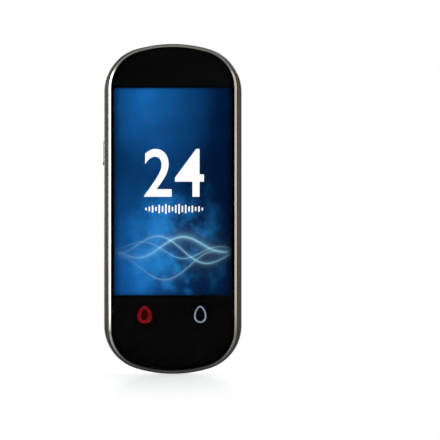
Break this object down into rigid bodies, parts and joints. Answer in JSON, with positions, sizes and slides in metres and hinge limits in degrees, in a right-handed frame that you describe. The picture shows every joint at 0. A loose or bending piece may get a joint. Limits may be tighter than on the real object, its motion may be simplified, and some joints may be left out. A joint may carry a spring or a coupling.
{
  "type": "handheld translator",
  "caption": "Slim pocket translator with a tall touch screen under glass, a side key, and a camera and fanned speaker slots in its raised back panel.",
  "frame": {"origin": "middle of the lower end, on the surface that the device stands on", "axes": "+Z along the length towards the camera end, -Y out of the screen, +Y out of the back, +X right seen from the screen side"},
  "size_m": [0.0581, 0.0131, 0.138],
  "materials": {
    "clear_glass": "clear, polished, rounded at its rim",
    "camera_glass": "coated glass with a blue cast",
    "mask_black": "opaque black print behind glass",
    "display": "lit screen with a soft blue picture",
    "diffuser": "milky light guide",
    "icon_red": "translucent red print, lit from behind",
    "icon_white": "translucent white print, lit from behind",
    "ring_polished": "polished bright ring",
    "frame_dark": "dark anodised satin metal",
    "cover_gunmetal": "glossy gunmetal lacquer",
    "chassis_steel": "plain stamped steel",
    "board_green": "solder-masked circuit board",
    "flex_amber": "amber polyimide film",
    "can_tin": "tinned shield can",
    "chip_black": "moulded chip package",
    "battery_wrap": "foil pouch with a printed-free wrap",
    "foam_black": "black foam and rubber seals",
    "tape_clear": "adhesive tape",
    "magnet": "nickel-plated magnet",
    "copper": "enamelled copper wire",
    "cone_film": "thin formed film",
    "mesh_black": "fine black dust mesh",
    "screw_steel": "small steel screws",
    "key_metal": "dark anodised metal",
    "socket_steel": "drawn steel shell",
    "camera_black": "matt black barrel and housing",
    "lamp_yellow": "phosphor lamp"
  },
  "bodies": {
    "body": {"front_glass": "clear_glass", "glass_mask": "mask_black", "glass_tape": "tape_clear", "touch_sensor": "clear_glass", "display_panel": "display", "display_backlight": "diffuser", "display_tape": "tape_clear", "display_flex": "flex_amber", "red_touch_icon": "icon_red", "white_touch_icon": "icon_white", "key_light_guide": "diffuser", "touch_key_lamps": "lamp_yellow", "touch_key_board": "board_green", "touch_key_tail": "flex_amber", "bezel_ring": "ring_polished", "mid_frame": "frame_dark", "chassis_plate": "chassis_steel", "back_cover": "cover_gunmetal", "plate_screws": "screw_steel", "board_screws": "screw_steel", "camera_ring": "ring_polished", "camera_window": "camera_glass", "camera_gasket": "foam_black", "camera_housing": "camera_black", "camera_sensor": "chip_black", "flash_window": "diffuser", "flash_lamp": "lamp_yellow", "speaker_mesh": "mesh_black", "speaker_seal": "foam_black", "speaker_basket": "camera_black", "speaker_magnet": "magnet", "speaker_yoke": "can_tin", "key_switch": "chip_black", "key_dome": "can_tin", "key_flex": "flex_amber", "key_bracket": "chassis_steel", "main_board": "board_green", "lower_board": "board_green", "processor_shield": "can_tin", "processor_chip": "chip_black", "radio_shield": "can_tin", "radio_chip": "chip_black", "board_connectors": "diffuser", "board_link_flex": "flex_amber", "battery": "battery_wrap", "battery_tape": "tape_clear", "battery_connector": "diffuser", "battery_lead": "flex_amber", "socket_shell": "socket_steel", "socket_tongue": "chip_black", "microphones": "can_tin", "microphone_seals": "foam_black", "antenna": "flex_amber", "antenna_contacts": "copper"},
    "side_key": {"side_key": "key_metal"},
    "speaker_cone": {"speaker_cone": "cone_film", "voice_coil": "copper"},
    "focus_barrel": {"focus_barrel": "camera_black", "camera_lens": "camera_glass"}
  },
  "joints": [
    {"name": "side_key_press", "type": "slide", "parent": "body", "child": "side_key", "axis": [1, 0, 0], "range_m": [0, 0.0003], "stiffness_N_per_m": 2000, "springref_m": -0.0003, "deforming": ["key_dome"]},
    {"name": "speaker_cone_travel", "type": "slide", "parent": "body", "child": "speaker_cone", "axis": [0, 1, 0], "range_m": [-0.00025, 0.00025], "stiffness_N_per_m": 1500},
    {"name": "focus_travel", "type": "slide", "parent": "body", "child": "focus_barrel", "axis": [0, 1, 0], "range_m": [0, 0.00025], "stiffness_N_per_m": 300, "springref_m": -0.0001}
  ]
}
